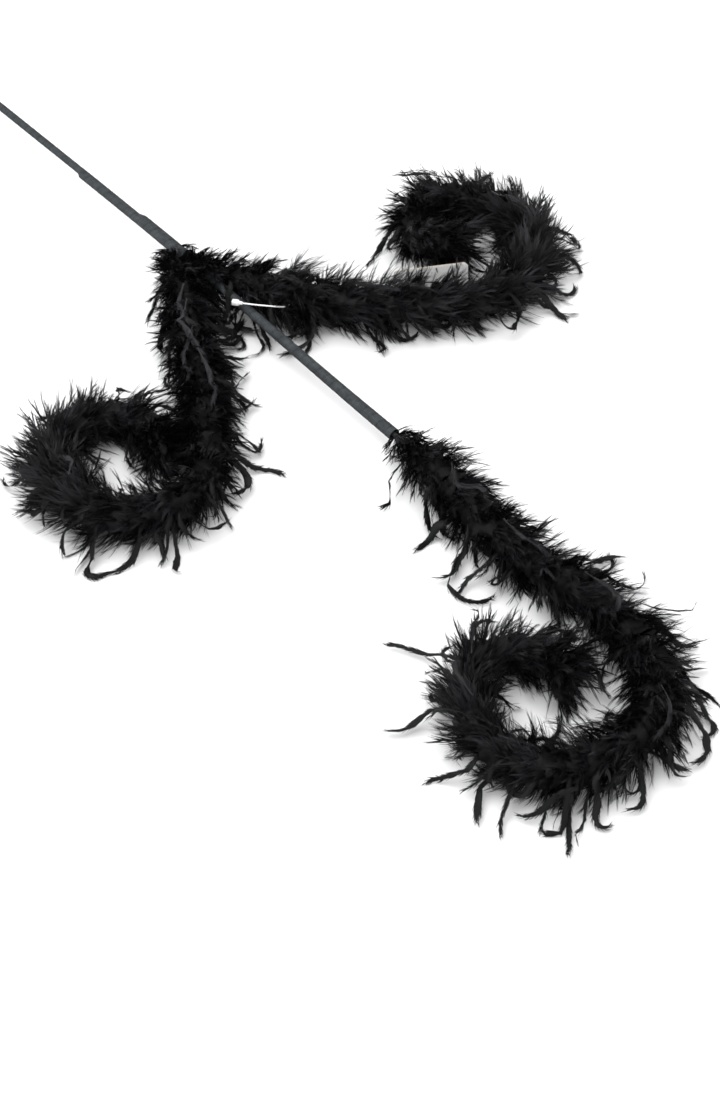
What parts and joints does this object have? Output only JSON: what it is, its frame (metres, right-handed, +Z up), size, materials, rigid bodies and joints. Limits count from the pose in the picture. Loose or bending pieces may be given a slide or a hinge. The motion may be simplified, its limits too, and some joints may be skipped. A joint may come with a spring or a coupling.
{
  "type": "wired feather spray",
  "caption": "Black feather boa spray: a taped wire stem forks into bendable wires sleeved in feathers, each ending in a flat curl, with a blank white tag on a nylon strap.",
  "frame": {"origin": "centre of the cut end of the stem, on its flat face", "axes": "+X along the stem from its cut end to the tip branch, +Y towards the right branch, +Z up, square to the surface the spray lies on"},
  "size_m": [0.914, 0.4666, 0.0362],
  "materials": {
    "coated_wire": "satin",
    "floral_tape": "matte",
    "boa_cord": "matte",
    "black_feather": "satin",
    "white_nylon": "satin",
    "white_card": "matte"
  },
  "bodies": {
    "stem": {"stem_wire": "coated_wire", "left_wire_tail": "coated_wire", "right_wire_tail": "coated_wire", "tape_butt": "floral_tape", "tape_middle": "floral_tape", "tape_shoulder": "floral_tape", "tape_fork": "floral_tape", "tape_lower": "floral_tape"},
    "left_arm": {"left_arm_wire": "coated_wire", "left_root_tape": "floral_tape", "left_arm_cord": "boa_cord", "left_root_feathers": "black_feather", "left_arm_feathers": "black_feather"},
    "left_curl": {"left_curl_wire": "coated_wire", "left_curl_cord": "boa_cord", "left_end_knot": "boa_cord", "left_bend_feathers": "black_feather", "left_curl_feathers": "black_feather", "left_tip_feathers": "black_feather"},
    "right_arm": {"right_arm_wire": "coated_wire", "right_root_tape": "floral_tape", "right_arm_cord": "boa_cord", "right_root_feathers": "black_feather", "right_arm_feathers": "black_feather", "tag_lock": "white_nylon", "tag_strap": "white_nylon", "tag_toggle": "white_nylon"},
    "right_curl": {"right_curl_wire": "coated_wire", "right_curl_cord": "boa_cord", "right_end_knot": "boa_cord", "right_bend_feathers": "black_feather", "right_curl_feathers": "black_feather", "right_tip_feathers": "black_feather"},
    "tip_arm": {"tip_arm_wire": "coated_wire", "tip_root_tape": "floral_tape", "tip_arm_cord": "boa_cord", "tip_root_feathers": "black_feather", "tip_arm_feathers": "black_feather"},
    "tip_curl": {"tip_curl_wire": "coated_wire", "tip_curl_cord": "boa_cord", "tip_end_knot": "boa_cord", "tip_bend_feathers": "black_feather", "tip_curl_feathers": "black_feather", "tip_tip_feathers": "black_feather"},
    "tag": {"tag_card": "white_card"}
  },
  "joints": [
    {"name": "left_branch_bend", "type": "hinge", "parent": "stem", "child": "left_arm", "pos_m": [0.346, -0.003, 0.004], "axis": [0, 0, 1], "range_deg": [-35, 6]},
    {"name": "left_curl_bend", "type": "hinge", "parent": "left_arm", "child": "left_curl", "pos_m": [0.52202, -0.1077, -0.002], "axis": [0, 0, 1], "range_deg": [0, 40]},
    {"name": "right_branch_bend", "type": "hinge", "parent": "stem", "child": "right_arm", "pos_m": [0.369, 0.003, 0.004], "axis": [0, 0, 1], "range_deg": [-6, 35]},
    {"name": "right_curl_bend", "type": "hinge", "parent": "right_arm", "child": "right_curl", "pos_m": [0.52437, 0.12835, -0.002], "axis": [0, 0, 1], "range_deg": [-40, 0]},
    {"name": "tip_branch_bend", "type": "hinge", "parent": "stem", "child": "tip_arm", "pos_m": [0.6, 0, -0.002], "axis": [0, 0, 1], "range_deg": [-25, 25]},
    {"name": "tip_curl_bend", "type": "hinge", "parent": "tip_arm", "child": "tip_curl", "pos_m": [0.79895, -0.00106, -0.002], "axis": [0, 0, 1], "range_deg": [0, 40]},
    {"name": "tag_card_swing", "type": "hinge", "parent": "right_arm", "child": "tag", "pos_m": [0.47614, 0.11248, -0.00636], "axis": [0.8576, -0.4951, 0.1392], "range_deg": [0, 80]}
  ]
}
